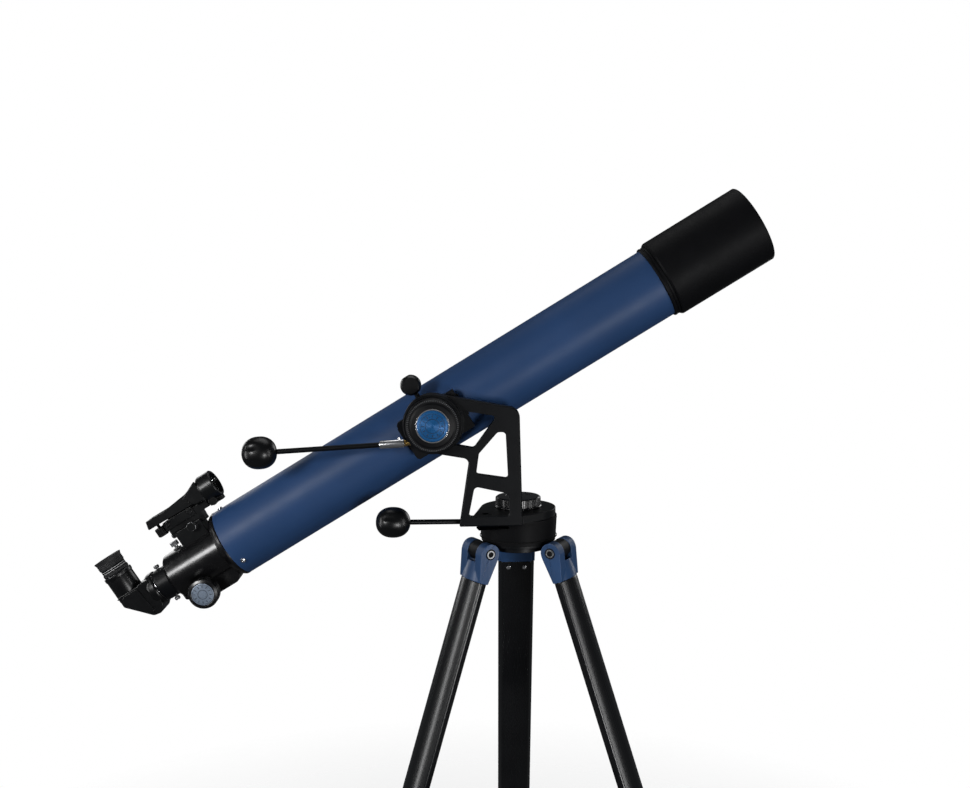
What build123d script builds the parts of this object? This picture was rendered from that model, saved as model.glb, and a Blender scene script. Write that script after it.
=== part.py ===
from build123d import *
import os
from math import cos, pi, radians, sin

# Refractor telescope on a single-arm altazimuth mount and a folding tripod.
# Millimetres and degrees. The floor is z = 0 and the origin is the middle of the footprint of the
# whole object's box. The tube points to +X and up, and the mount's arm stands on its -Y side.

# ---- whole object ----
AXIS_X = 114.9                # azimuth axis, from the origin
AXIS_Y = -79.1
HINGE_HEIGHT = 820.0          # leg hinges above the floor
HINGE_DROP = 12.1             # leg hinges below the rotating drum's lower rim
DECK_HEIGHT = HINGE_HEIGHT + HINGE_DROP
ALTITUDE = 30.8               # resting elevation of the tube

# ---- fits ----
RUNNING = 0.05                # radial clearance of a shaft in its bearing
GAP = 0.4                     # clearance between curved faces of moving neighbours
STEP = 0.02                   # clearance between pieces fixed to each other

# ---- optical tube, measured along its axis from the point over the azimuth axis ----
TUBE_X = -8.65                # that point, from the azimuth axis
TUBE_Z = 213.3                # and above the drum's lower rim
TUBE_R = 45.0
TUBE_WALL = 1.2
TUBE_REAR = -421.0
TUBE_FRONT = 213.8
TUBE_BORE = TUBE_R - TUBE_WALL
SPIGOT_R = TUBE_BORE - STEP
SHIELD_R = 50.4
SHIELD_BORE = 48.4
SHIELD_REAR = 222.4
SHIELD_FRONT = 353.7
LENS_R = 41.0
LENS_POLE_R = 0.5             # flat at the middle of each lens face
APERTURE_R = 40.0
BAFFLES = ((60.0, 37.0), (-110.0, 31.5), (-280.0, 26.0))   # station, opening radius

# ---- hub, on the altitude axis ----
HUB_S = -111.7                # altitude axis along the tube
HUB_H = 2.6                   # and above the tube's own axis
HUB_X = TUBE_X + HUB_S * cos(radians(ALTITUDE)) - HUB_H * sin(radians(ALTITUDE))
HUB_Z = TUBE_Z + HUB_S * sin(radians(ALTITUDE)) + HUB_H * cos(radians(ALTITUDE))
HUB_R = 36.5
ARM_FRONT = -70.0
ARM_BACK = -58.0
HUB_FRONT = -80.0
AXLE_R = 8.0

# ---- azimuth base ----
DRUM_R = 50.0
DRUM_TOP = 28.6
PLATE_LOW = 28.9
PLATE_TOP = 39.0
PLATE_R = 48.4
PILLAR_R = 8.0

# ---- slow-motion controls ----
WORM_DISTANCE_ALT = 22.2      # worm axis to altitude axis
WORM_DISTANCE_AZ = 36.0       # worm axis to azimuth axis
ALT_WORM_TEETH = 36
AZ_WORM_TEETH = 60
ALT_WORM_TILT = 3.0           # the altitude control droops away from the hub
AZ_WORM_RISE = 3.0            # the azimuth control rises away from the drum
AZ_WORM_SWING = 12.0          # and swings out past the arm's foot
CONTROL_R = 3.2
ALT_KNOB_R = 20.4
AZ_KNOB_R = 19.2
KNOB_LENGTH = 42.5
ALT_KNOB_AT = 192.5           # start of each knob along its control
AZ_KNOB_AT = 147.5

# ---- focuser and diagonal, in the tube's frame ----
HOUSING_R = 31.0
HOUSING_REAR = -510.0
DRAWTUBE_R = 20.0
PINION_S = -476.0
PINION_H = -32.0
PINION_R = 4.6
HOLDER_REAR = -531.0
BARREL_R = 15.85              # 1.25 inch fitting
BARREL_BORE = BARREL_R + RUNNING
MIRROR_S = -571.4             # eyepiece axis along the tube

# ---- tripod ----
LEG_LEAN = 19.0
LEG_FOLDED_LEAN = 2.0
HINGE_R = 57.3                # hinges from the azimuth axis
LEG_WIDTH = 49.2
LEG_DEPTH = 19.2
LEG_WALL = 1.6
EAR_WIDTH = 20.0
HUB_LOW = -13.8               # underside of the tripod head
NUT_SEAT = -11.8              # face inside it that the pillar's nut bears on
EAR_R = 12.5
FORK_R = 13.0
FORK_LENGTH = 38.0
UPPER_LEG = 560.0             # hinge to the lower end of the upper tube
LEG_LENGTH = HINGE_HEIGHT / cos(radians(LEG_LEAN))
LEG_AZIMUTHS = {1: 90.0, 2: 210.0, 3: 330.0}
BRACE_DOWN = 510.0            # brace pivot along the leg
BRACE_INSET = 20.0            # brace pivot inward of the leg's axis
BRACE_RISE = 25.0             # resting slope of a brace
TRAY_PIVOT_R = 26.0

BASE = (Align.CENTER, Align.CENTER, Align.MIN)
TO_X = Rot(0, 90, 0)          # turns a piece made along Z onto +X
TO_Y = Rot(-90, 0, 0)         # turns a piece made along Z onto +Y
DECK = Pos(AXIS_X, AXIS_Y, DECK_HEIGHT)
TUBE = DECK * Pos(TUBE_X, 0, TUBE_Z) * Rot(0, -ALTITUDE, 0)
HUB = DECK * Pos(HUB_X, 0, HUB_Z)
TILTED_HUB = TUBE * Pos(HUB_S, 0, HUB_H)


# ---- shapes used again and again ----
def along_z(radius, low, high):
    return Pos(0, 0, low) * Cylinder(radius, high - low, align=BASE)


def along_x(radius, low, high):
    return TO_X * along_z(radius, low, high)


def along_y(radius, low, high):
    return TO_Y * along_z(radius, low, high)


def block(x, y, z):
    """Box between the given limits on each axis."""
    middle = Pos((x[0] + x[1]) / 2, (y[0] + y[1]) / 2, (z[0] + z[1]) / 2)
    return middle * Box(x[1] - x[0], y[1] - y[0], z[1] - z[0])


def turned(*profile):
    """Solid of revolution about Z from (radius, height) points."""
    outline = Polyline(*[(radius, 0, height) for radius, height in profile], close=True)
    return revolve(make_face(outline), Axis.Z, 360)


def outline(*corners):
    """Flat outline whose corners are (x, y, rounding radius)."""
    shape = Sketch() + make_face(Polyline(*[(x, y) for x, y, _ in corners], close=True))
    for x, y, radius in corners:
        if radius > 0:
            shape = fillet(shape.vertices().sort_by_distance((x, y, 0))[0], radius)
    return shape


def upright(sketch, front, back):
    """Sketch drawn as (x, z) made solid between two y limits."""
    return Pos(0, back, 0) * Rot(90, 0, 0) * extrude(sketch, amount=back - front)


def group(*solids):
    """Separate solids kept in one node."""
    return Compound(children=[solid for shape in solids for solid in shape.solids()])


def around(count, piece):
    """The piece repeated about Z."""
    turns = [Rot(0, 0, index * 360 / count) * piece for index in range(count)]
    return turns[0] + turns[1:]


# ---- tripod head and azimuth base, in the deck's frame ----
def tripod_head():
    flange = along_z(46.5, -6.6, -3.7)
    hub = along_z(38, HUB_LOW, -6.6)
    ear_block = block((30, HINGE_R), (-EAR_WIDTH / 2, EAR_WIDTH / 2), (HUB_LOW, -6.6))
    ear_eye = Pos(HINGE_R, 0, -HINGE_DROP) * along_y(EAR_R, -EAR_WIDTH / 2, EAR_WIDTH / 2)
    bolt_hole = Pos(HINGE_R, 0, -HINGE_DROP) * along_y(4 + STEP, -20, 20)
    head = flange + hub
    for azimuth in LEG_AZIMUTHS.values():
        head += Rot(0, 0, azimuth) * (ear_block + ear_eye)
    for azimuth in LEG_AZIMUTHS.values():
        head -= Rot(0, 0, azimuth) * bolt_hole
    head -= along_z(30, HUB_LOW, NUT_SEAT)
    return head - along_z(PILLAR_R + STEP, -30, 0)


def azimuth_pillar():
    """Threaded pillar everything above turns on, with its nut under the tripod head."""
    thickness = 6.9
    top = NUT_SEAT - 0.1
    shaft = along_z(PILLAR_R, top - 0.1, 50)
    nut = extrude(Pos(0, 0, top - thickness) * RegularPolygon(14, 6), amount=thickness)
    return shaft + nut


def worm_wheel(radius, thickness, bore, teeth):
    """Toothed wheel about Z, centred on z = 0."""
    wheel = along_z(radius, -thickness / 2, thickness / 2)
    tooth_gap = Pos(radius, 0, 0) * Box(2.2, pi * radius / teeth, thickness + 2)
    wheel -= around(teeth, tooth_gap)
    wheel -= along_z(bore, -thickness, thickness)
    return wheel


def azimuth_worm_wheel():
    tip = WORM_DISTANCE_AZ - 6.4 - GAP
    return Pos(0, 0, 27.5) * worm_wheel(tip, 8, PILLAR_R + STEP, AZ_WORM_TEETH)


def hinge_bolts():
    """One socket-head bolt through each ear, with its head and nut let into the fork."""
    half = LEG_WIDTH / 2
    shank = along_y(4, 2 - half, half - 2)
    heads = along_y(6.5, half - 5, half - 1) + along_y(6.5, 1 - half, 5 - half)
    socket = extrude(RegularPolygon(3.4, 6), amount=3)
    bolt = shank + heads
    bolt -= Pos(0, half - 4, 0) * TO_Y * socket
    bolt -= Pos(0, 1 - half, 0) * TO_Y * socket
    places = [Rot(0, 0, azimuth) * Pos(HINGE_R, 0, -HINGE_DROP) for azimuth in LEG_AZIMUTHS.values()]
    return group(*[place * bolt for place in places])


def worm_line():
    """Frame on the azimuth worm: +X runs out along the control, the origin is beside the wheel."""
    beside = Rot(0, 0, AZ_WORM_SWING) * Pos(0, -WORM_DISTANCE_AZ, 27.5)
    return beside * Rot(0, 0, 180) * Rot(0, -AZ_WORM_RISE, 0)


def azimuth_drum():
    wall = turned((48.6, 0.8), (DRUM_R, DRUM_TOP - 2), (DRUM_R, DRUM_TOP), (45.5, DRUM_TOP),
                  (45.5, 4), (PILLAR_R + RUNNING, 4), (PILLAR_R + RUNNING, -3.3), (48, -3.3),
                  (48, 0.8))
    notch = Rot(0, 0, AZ_WORM_SWING) * block((-62, -20), (-43.6, -28.4), (19.9, 40))
    return wall - notch


def plate_outline():
    foot = Polyline((-60, ARM_BACK), (4, ARM_BACK))
    return make_hull(foot.edges() + Circle(PLATE_R).edges())


def base_plate():
    """Turning plate over the drum, hollow below for the worm wheel, with the worm's bearings."""
    plate = extrude(Pos(0, 0, PLATE_LOW) * plate_outline(), amount=PLATE_TOP - PLATE_LOW)
    plate = fillet(plate.faces().sort_by(Axis.Z)[-1].edges(), 1.0)
    bearing_out = Pos(0, -WORM_DISTANCE_AZ, 0) * block((-62, -37), (-7, 7), (20.5, 31))
    bearing_in = Pos(0, -WORM_DISTANCE_AZ, 0) * block((15, 20.5), (-3.4, 4.5), (22, 30))
    plate += Rot(0, 0, AZ_WORM_SWING) * (bearing_out + bearing_in)
    plate -= along_z(31, 20, 32.6)
    plate -= worm_line() * along_x(7.2, -14.8, 22)
    plate -= worm_line() * along_x(CONTROL_R + RUNNING, -30, 80)
    plate -= along_z(PILLAR_R + RUNNING, 20, 50)
    for x, y in ((-43, -42), (-36, -51)):
        plate -= Pos(x, y, 0) * along_z(4.5, PLATE_TOP - 4, PLATE_TOP + 1)
    return plate


def azimuth_tension_knob():
    body = turned((PILLAR_R + RUNNING, 39.4), (29.2, 39.4), (29.2, 41.6), (28.2, 42.4), (27.2, 53.4),
                  (25.4, 55.4), (21, 56), (0, 56), (0, 51.6), (PILLAR_R + RUNNING, 51.6))
    groove = Pos(28.9, 0, 42.6) * Rot(0, -5, 0) * along_z(1.0, 0, 10.4)
    return body - around(40, groove)


# ---- arm and altitude hub, in the deck's frame ----
def arm():
    """Single arm: a plate with three windows, and the cup that holds the altitude gear."""
    top_drop = 10.8
    tangent_x = HUB_R * sin(radians(top_drop))
    tangent_z = HUB_R * cos(radians(top_drop))
    side = outline((-76, PLATE_LOW, 2), (2.5, PLATE_LOW, 2), (-0.5, 175, 13),
                   (HUB_X + tangent_x, HUB_Z + tangent_z, 0),
                   (HUB_X - tangent_x, HUB_Z - tangent_z, 0), (-62.6, 113.4, 7))
    lower_window = outline((-64.3, 40.8, 3), (-13.3, 40.8, 3), (-14.6, 70, 4), (-56.4, 79.4, 5))
    middle_window = outline((-54.3, 94.6, 3), (-15, 88.4, 3), (-17.5, 146.5, 5), (-27.5, 146.5, 5),
                            (-50.6, 120.3, 3))
    upper_window = outline((-72, 173.6, 0), (-28, 166.2, 4), (-56.5, 127.2, 5), (-82, 132, 0))
    upper_window -= Pos(HUB_X, HUB_Z) * Circle(HUB_R + 1.3)
    plate = upright(side - lower_window - middle_window - upper_window, ARM_FRONT, ARM_BACK)
    front_face = plate.faces().sort_by(Axis.Y)[0]
    plate = chamfer(front_face.outer_wire().edges(), 1.6)
    cup = Pos(HUB_X, 0, HUB_Z) * along_y(HUB_R, HUB_FRONT, ARM_BACK)
    cup = chamfer(cup.edges().sort_by(Axis.Y)[0], 1.2)
    cavity = Pos(HUB_X, 0, HUB_Z) * along_y(28.5, HUB_FRONT + 4, ARM_BACK + 1)
    axle_bore = Pos(HUB_X, 0, HUB_Z) * along_y(AXLE_R + RUNNING, HUB_FRONT - 1, ARM_BACK)
    body = plate + cup - cavity - axle_bore
    return body - altitude_worm_line() * along_x(3 + RUNNING, 10, 60)


def altitude_worm_line():
    """Frame on the altitude worm: +X runs out along the control, the origin is under the axle."""
    below = Pos(HUB_X, -68, HUB_Z) * Rot(0, -ALT_WORM_TILT, 0) * Pos(0, 0, -WORM_DISTANCE_ALT)
    return below * Rot(0, 0, 180)


def worm_shaft(crest, root, journal, low, high):
    """Worm about X with ring grooves, on a journal from low to high."""
    pitch = 3.0
    worm = along_x(crest, -9, 9)
    groove = turned((root, -0.9), (crest + 1, -0.9), (crest + 1, 0.9), (root, 0.9))
    for index in range(-2, 3):
        worm -= TO_X * Pos(0, 0, index * pitch) * groove
    return worm + along_x(journal, low, high)


def control_knob(radius):
    """Ovoid grip along +X with six shallow dimples."""
    half = KNOB_LENGTH / 2
    profile = Spline((0, 3.6), (0.08 * half, 10), (0.48 * half, radius * 0.92),
                     (half * 1.05, radius), (half * 1.7, radius * 0.77), (KNOB_LENGTH, 5),
                     tangents=((0.2, 1), (0, -1)))
    core = Polyline((KNOB_LENGTH, 5), (KNOB_LENGTH, 0), (0, 0), (0, 3.6))
    knob = revolve(make_face(profile + core), Axis.X, 360)
    for index in range(6):
        dimple = Pos(half * 1.25, 0, radius + 12.2) * Sphere(15)
        knob -= Rot(index * 60, 0, 0) * dimple
    return knob


def altitude_worm_shaft():
    """Worm, brass journal, clamping sleeve with its screw, and the control shaft."""
    journal = worm_shaft(4.4, 3.2, 3.0, -12, 50)
    sleeve = along_x(5.2, 36.8, 66.8) + Pos(42.5, 0, 0) * along_z(1.9, 4, 8.2)
    shaft = along_x(CONTROL_R, 50, ALT_KNOB_AT)
    return journal + sleeve + shaft


def azimuth_worm_shaft():
    shaft = along_x(CONTROL_R, 20, AZ_KNOB_AT)
    return worm_shaft(6.4, 4.9, CONTROL_R, -20, 30) + shaft


def altitude_axle():
    """Spindle through the hub, with the flange that closes the gear cup."""
    return along_y(AXLE_R, -94, -50) + along_y(28.1, -60.4, -57.4)


def altitude_worm_wheel():
    tip = WORM_DISTANCE_ALT - 4.4 - GAP
    return Pos(0, -68, 0) * TO_Y * worm_wheel(tip, 8, AXLE_R + STEP, ALT_WORM_TEETH)


def altitude_tension_knob():
    body = turned((AXLE_R + RUNNING, 0), (32.4, 0), (32.8, 1), (32.8, 9.6), (31.4, 11.4), (27.6, 11.4),
                  (25.6, 12.6), (20.4, 13.4), (19.2, 13.4), (19.2, 11.6), (AXLE_R + RUNNING, 11.6))
    return Pos(0, -80.4, 0) * Rot(90, 0, 0) * body


def altitude_knob_cap():
    dome = turned((0, 11.9), (19.0, 11.9), (19.0, 14.4), (18.2, 15), (0, 15.2))
    return Pos(0, -80.4, 0) * Rot(90, 0, 0) * (dome - along_z(AXLE_R + 1, 11, 13.9))


# ---- saddle and dovetail, in the tilted hub's frame ----
def saddle():
    """Clamp block on the axle, with a dovetail slot open toward the tube."""
    body = block((-41, 41), (-57.2, -46), (-31, 22))
    slot = extrude(Plane.YZ * make_face(Polyline(
        (-52.2, -15.4), (-45, -12), (-45, 12), (-52.2, 15.4), close=True)), amount=50, both=True)
    body -= slot
    body = chamfer(body.edges().filter_by(Axis.Y).group_by(Axis.X)[0], 3)
    body -= along_y(AXLE_R + STEP, -60, -40)
    body -= Pos(0, -52, 0) * along_z(3 + RUNNING, 10, 40)
    relief = Pos(0, 0, -HUB_H) * along_x(TUBE_R + 0.6, -60, 60)
    return body - relief


def dovetail_bar():
    """Bar screwed to the tube, shaped to its curve."""
    profile = make_face(Polyline((-52, -15), (-45, -11.6), (-38, -11.6), (-38, 11.6), (-45, 11.6),
                                 (-52, 15), close=True))
    bar = extrude(Plane.YZ * profile, amount=43, both=True)
    bar -= Pos(0, 0, -HUB_H) * along_x(TUBE_R + STEP, -60, 60)
    return bar - along_y(AXLE_R + 1, -60, -49)


def saddle_clamp_knob():
    """Clamp screw and its paddle grip, along +Z."""
    stem = along_z(3, 16.5, 44)
    grip = Pos(0, 0, 52.6) * (Sphere(13) & Box(30, 17, 24))
    return Pos(0, -52, 0) * (stem + grip)


# ---- optical tube, in the tube's frame ----
def main_tube():
    tube = along_x(TUBE_R, TUBE_REAR, TUBE_FRONT) - along_x(TUBE_BORE, TUBE_REAR - 1, TUBE_FRONT + 1)
    for angle in (0, 120, 240):
        tube -= Rot(angle, 0, 0) * Pos(TUBE_REAR + 10, 0, 0) * along_z(1.9, 40, 50)
    return tube


def tube_baffles():
    rings = []
    for station, opening in BAFFLES:
        rings.append(along_x(SPIGOT_R, station, station + 1) - along_x(opening, station - 1, station + 2))
    return group(*rings)


def objective_cell():
    return TO_X * turned((SPIGOT_R, 198), (SPIGOT_R, TUBE_FRONT + STEP), (46.4, TUBE_FRONT + STEP),
                         (47.4, 215), (47.4, 217), (46.4, 217.6), (46.4, 218.8), (47.4, 219.4),
                         (47.4, 222), (46.3, 222), (46.3, 238), (41.1, 238), (41.1, 213),
                         (APERTURE_R, 213), (APERTURE_R, 198))


def lens(rear_sag, front_sag, rear, front):
    """Round lens about X; a positive sag moves that face forward on the axis."""
    def face_arc(rim, sag):
        return ThreePointArc((rim + sag, LENS_POLE_R), (rim + 0.75 * sag, LENS_R / 2), (rim, LENS_R))

    rear_pole = rear + rear_sag
    front_pole = front + front_sag
    core = Polyline((rear_pole, LENS_POLE_R), (rear_pole, 0), (front_pole, 0), (front_pole, LENS_POLE_R))
    edge = Line((rear, LENS_R), (front, LENS_R))
    profile = core + face_arc(front, front_sag) + edge + face_arc(rear, rear_sag)
    return revolve(make_face(profile), Axis.X, 360)


def objective_lenses():
    flint = lens(0.4, -2.2, 213.3, 221.0)
    crown = lens(-1.9, 2.0, 221.4, 230.0)
    return group(flint, crown)


def lens_retainer():
    return TO_X * turned((41.0, 230.4), (41.0, 235.5), (39.6, 235.5), (39.6, 233.2), (40.2, 230.4))


def dew_shield():
    return TO_X * turned((46.5, SHIELD_REAR), (49.2, SHIELD_REAR), (SHIELD_R, 224.4), (SHIELD_R, 352.7),
                         (SHIELD_R - 0.8, SHIELD_FRONT), (SHIELD_BORE, SHIELD_FRONT),
                         (SHIELD_BORE, 242), (46.5, 242))


def flange_screws():
    """Pan-head screws that hold the focuser in the tube."""
    screw = along_z(1.8, 41.2, 45.4) + turned((0, 45.3), (3.4, 45.3), (3.1, 46.6), (1.8, 47.2), (0, 47.4))
    slots = Pos(0, 0, 47.3) * (Box(3.6, 0.8, 1.6) + Box(0.8, 3.6, 1.6))
    places = [Rot(angle, 0, 0) * Pos(TUBE_REAR + 10, 0, 0) for angle in (0, 120, 240)]
    return group(*[place * (screw - slots) for place in places])


# ---- focuser, in the tube's frame ----
def focuser_housing():
    shell = TO_X * turned((SPIGOT_R, -404), (SPIGOT_R, TUBE_REAR - STEP), (44.8, TUBE_REAR - STEP),
                          (45.3, -423), (45.1, -425), (42, -429.8), (36, -431.5), (HOUSING_R, -433.5),
                          (HOUSING_R, -507), (28, HOUSING_REAR), (24, HOUSING_REAR),
                          (24, -432), (40, -422), (40, -404))
    gear_box = upright(outline((-433, -18, 0), (-433, -40, 3), (-440, -45.5, 4), (-486, -45.5, 6),
                               (HOUSING_REAR, -30.5, 3), (HOUSING_REAR, -18, 0)), -16, 16)
    shaft_boss = Pos(PINION_S, 0, PINION_H) * along_y(9, -29, 29)
    land_rear = along_x(24.5, HOUSING_REAR, -495)
    land_front = along_x(24.5, -446, -433)
    screw_boss = Pos(-486.6, 0, 0) * along_z(5.5, 22, HOUSING_R + 1)
    body = shell + (gear_box + shaft_boss - along_x(24.2, -520, -420)) + land_rear + land_front + screw_boss
    body -= along_x(DRAWTUBE_R + RUNNING, -520, -400)
    body -= block((-520, -400), (-4.8, 4.8), (-29, -15))
    body -= Pos(PINION_S, 0, PINION_H) * along_y(PINION_R + 1, -9, 9)
    body -= Pos(PINION_S, 0, PINION_H) * along_y(3 + RUNNING, -40, 40)
    body -= Pos(-486.6, 0, 0) * along_z(2.5 + RUNNING, 15, 40)
    for angle in (0, 120, 240):
        body -= Rot(angle, 0, 0) * Pos(TUBE_REAR + 10, 0, 0) * along_z(1.8 + STEP, 38, 48)
    return body


def drawtube():
    """Sliding tube with its rack moulded along the underside."""
    tube = along_x(DRAWTUBE_R, -512.5, -398)
    rack = block((-511, -402), (-4, 4), (-27, -18))
    tooth_gaps = [Pos(-509 + 2.4 * index, 0, -27) * Box(1.2, 10, 3) for index in range(45)]
    rack -= tooth_gaps
    return tube + rack - along_x(17.5, -520, -390)


def eyepiece_holder():
    ring = TO_X * turned((17.4, -500), (17.4, -512.6), (20.6, -512.6), (21.3, -513.4), (21.3, -529),
                         (20.6, HOLDER_REAR), (BARREL_BORE, HOLDER_REAR), (BARREL_BORE, -506),
                         (16.4, -500))
    holes = Pos(-524, 0, 0) * along_z(1.8 + STEP, -30, 30)
    return ring - holes


def holder_thumbscrews():
    head = turned((0, 22), (2.2, 22), (3.4, 22.8), (3.4, 26.2), (2.6, 27), (0, 27))
    screw = along_z(1.8, 16.4, 22) + head
    return group(Pos(-524, 0, 0) * screw, Pos(-524, 0, 0) * Rot(180, 0, 0) * screw)


def pinion_shaft():
    gear = along_y(PINION_R, -8, 8)
    tooth_gap = Pos(PINION_R, 0, 0) * Box(2.4, 1.2, 18)
    gear -= TO_Y * around(12, tooth_gap)
    shaft = along_y(3, -44, 44)
    return gear + shaft


def focus_knobs():
    knob = turned((3 + STEP, 30), (8, 30), (8, 32.4), (17.8, 32.4), (19.4, 34), (19.6, 46), (18.6, 48.6),
                  (15.2, 49.8), (14.2, 49), (3 + STEP, 49))
    return group(TO_Y * knob, TO_Y * Rot(180, 0, 0) * knob)


def focus_lock_screw():
    head = turned((0, 35), (2.6, 35), (5.2, 35.2), (5.4, 36), (5.4, 40.6), (4.6, 41.4), (0, 41.4))
    grooves = around(16, Pos(5.6, 0, 0) * along_z(0.5, 35.6, 40.9))
    return Pos(-486.6, 0, 0) * (along_z(2.5, 20.6, 35.1) + (head - grooves))


# ---- star diagonal and eyepiece, in the tube's frame ----
def prism_outline(margin):
    """Right-angle prism seen from the side, grown by the margin."""
    near = MIRROR_S + 15 + margin
    far = MIRROR_S - 15 - 2.4 * margin
    return make_face(Polyline((near, 15 + margin), (far, 15 + margin), (near, -15 - 2.4 * margin),
                              close=True))


def diagonal_body():
    left = MIRROR_S - 17.9
    side = outline((left, 16.5, 0), (left, 6.4, 5), (-557, -27.4, 6), (-545, -28.8, 6), (-536.5, -20, 5),
                   (-536.5, 18.5, 4), (-552, 18.5, 0), (-553.4, 16.5, 0))
    body = upright(side, -19, 19)
    body = fillet(body.faces().sort_by(Axis.Y)[0].edges() + body.faces().sort_by(Axis.Y)[-1].edges(), 1.5)
    cheek = outline((-586, 5, 3), (-556, -24.5, 3), (-551, -24.5, 2), (-554.5, 14.5, 3), (-580, 14.5, 5))
    body += upright(cheek, -20.2, 20.2)
    collar = TO_X * turned((0, -532.4), (21, -532.4), (22.6, -534), (22.6, -541), (20, -545), (0, -545))
    riser = Pos(MIRROR_S, 0, 0) * turned((0, 12), (18, 12), (18, 39), (18.4, 39.6), (18.9, 40.4),
                                         (18.9, 44.2), (18.3, 45), (0, 45))
    body += collar
    body += riser
    body -= upright(prism_outline(0.3), -15.3, 15.3)
    body -= along_x(BARREL_R + 0.2, -560, -530)
    return body - Pos(MIRROR_S, 0, 0) * along_z(BARREL_BORE, 10, 50)


def diagonal_nose():
    return TO_X * turned((BARREL_R, -508), (BARREL_R, -532), (20, -532), (20, -532.3), (BARREL_R, -532.4),
                         (BARREL_R, -545), (14, -545), (14, -508))


def diagonal_prism():
    return upright(prism_outline(0), -15, 15)


def eyepiece_barrel():
    return Pos(MIRROR_S, 0, 0) * turned((13.4, 19), (BARREL_R - 0.4, 19), (BARREL_R, 20), (BARREL_R, 45.3),
                                        (13.4, 45.3))


def eyepiece_body():
    return Pos(MIRROR_S, 0, 0) * turned((7, 45.4), (16.6, 45.4), (17.1, 46), (17.1, 49.4), (16.5, 50),
                                        (16.5, 55.4), (16.2, 56), (15.6, 56), (15.6, 60.4), (13, 61.4),
                                        (9.5, 61.4), (9.5, 60), (7, 59.4))


def eyecup():
    """Folding rubber cup, flared at its rim."""
    return Pos(MIRROR_S, 0, 0) * turned((15.7, 56.2), (17, 56.2), (16.9, 60), (17, 63), (18.8, 68),
                                        (18.2, 68.2), (16.2, 64), (14.4, 61.8), (15.7, 60.6))


# ---- red-dot finder, in the tube's frame ----
def finder_shoe():
    """Shoe on the focuser with a dovetail slot, and its clamp screw."""
    body = block((-475, -437), (-12.5, 12.5), (28, 49))
    body -= along_x(HOUSING_R + STEP, -480, -430)
    body = chamfer(body.faces().sort_by(Axis.X)[0].edges().filter_by(Axis.Y), 3)
    slot = block((-480, -430), (-8, 8), (43.5, 50))
    clamp = Pos(-449, 0, 46.4) * (along_y(5.2, -21.5, -13.6) + along_y(2, -14, -8.2))
    return group(body - slot - Pos(-449, 0, 46.4) * along_y(2 + STEP, -20, 0), clamp)


def finder_base():
    """Dovetail foot, side plates and front post that carry the sight."""
    foot = block((-480, -431), (-7.8, 7.8), (43.7, 56))
    cheeks = block((-481.7, -438), (-10.5, 10.5), (57, 68.2))
    neck = block((-480, -431), (-8.8, 8.8), (50.2, 57.4))
    post = block((-438, -418), (-8.8, 8.8), (56, 66))
    body = foot + neck + cheeks + post
    body -= block((-479, -426), (-7, 7), (64, 70))
    for s, h in ((-477, 64.6), (-443.6, 63.8)):
        body += Pos(s, 0, h) * along_y(2.6, 9, 11.8)
        body += Pos(s, 0, h) * along_y(2.6, -11.8, -9)
    return body


def finder_body():
    """Sight housing: an open hood in front of a long low body that pivots on the base."""
    rail = outline((-500.5, 70.2, 1.5), (-497.5, 81.3, 1), (-470, 81, 4), (-435, 85.4, 3), (-415, 92, 2),
                   (-415, 72, 2), (-436, 69.6, 0))
    rail = upright(rail, -13, 13)
    trough = upright(outline((-495, 84, 0), (-492, 76, 2), (-424, 76, 2), (-424, 96, 0)), -10, 10)
    hood = Pos(0, 0, 77) * (TO_X * turned((14.6, -416), (17.2, -416), (18, -414), (18, -397), (17.2, -396),
                                          (14.6, -396)))
    tongue = block((-474, -430), (-6.4, 6.4), (66, 74))
    chin = block((-416.4, -398), (-6, 6), (54.5, 61))
    adjuster = Pos(-409.5, 0, 59.6) * along_y(5.6, -12.5, 12.5)
    body = rail + hood + tongue - trough
    body += (chin + adjuster) - Pos(0, 0, 77) * along_x(17, -430, -390)
    body -= Pos(0, 0, 77) * along_x(14.6, -426, -390)
    pivot = Pos(-435.8, 0, 79)
    return body + pivot * along_y(4.2, 12.8, 14.6) + pivot * along_y(4.2, -14.6, -12.8)


def finder_lens():
    return Pos(-403, 0, 77) * Rot(0, -8, 0) * along_x(14.3, -1, 1)


def finder_switch():
    """Brightness dial under the rear of the sight."""
    dial = turned((0, 53.6), (5.6, 53.6), (7.4, 55), (7.4, 64.6), (6.4, 66), (2, 66), (2, 70), (0, 70))
    return Pos(-491, 0, 0) * (dial - around(14, Pos(7.8, 0, 0) * along_z(0.8, 55.4, 64.4)))


# ---- tripod leg, in its own frame: -Z runs down the leg, +X faces outward, +Y across ----
def leg_section(inset):
    """Leg extrusion: flat inside, bowed outside, rounded edges."""
    half = LEG_WIDTH / 2
    back = -LEG_DEPTH / 2
    face = make_face(Polyline((back, -half + 5), (back, half - 5), (-1, half), (2, half))
                     + ThreePointArc((2, half), (LEG_DEPTH / 2, 0), (2, -half))
                     + Polyline((2, -half), (-1, -half), (back, -half + 5)))
    section = fillet((Sketch() + face).vertices(), 3.2)
    return offset(section, amount=-inset) if inset else section


def leg_length(section, top, bottom):
    """The section run down the leg between two distances from the hinge."""
    return Pos(0, 0, -bottom) * extrude(section, amount=bottom - top)


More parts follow.
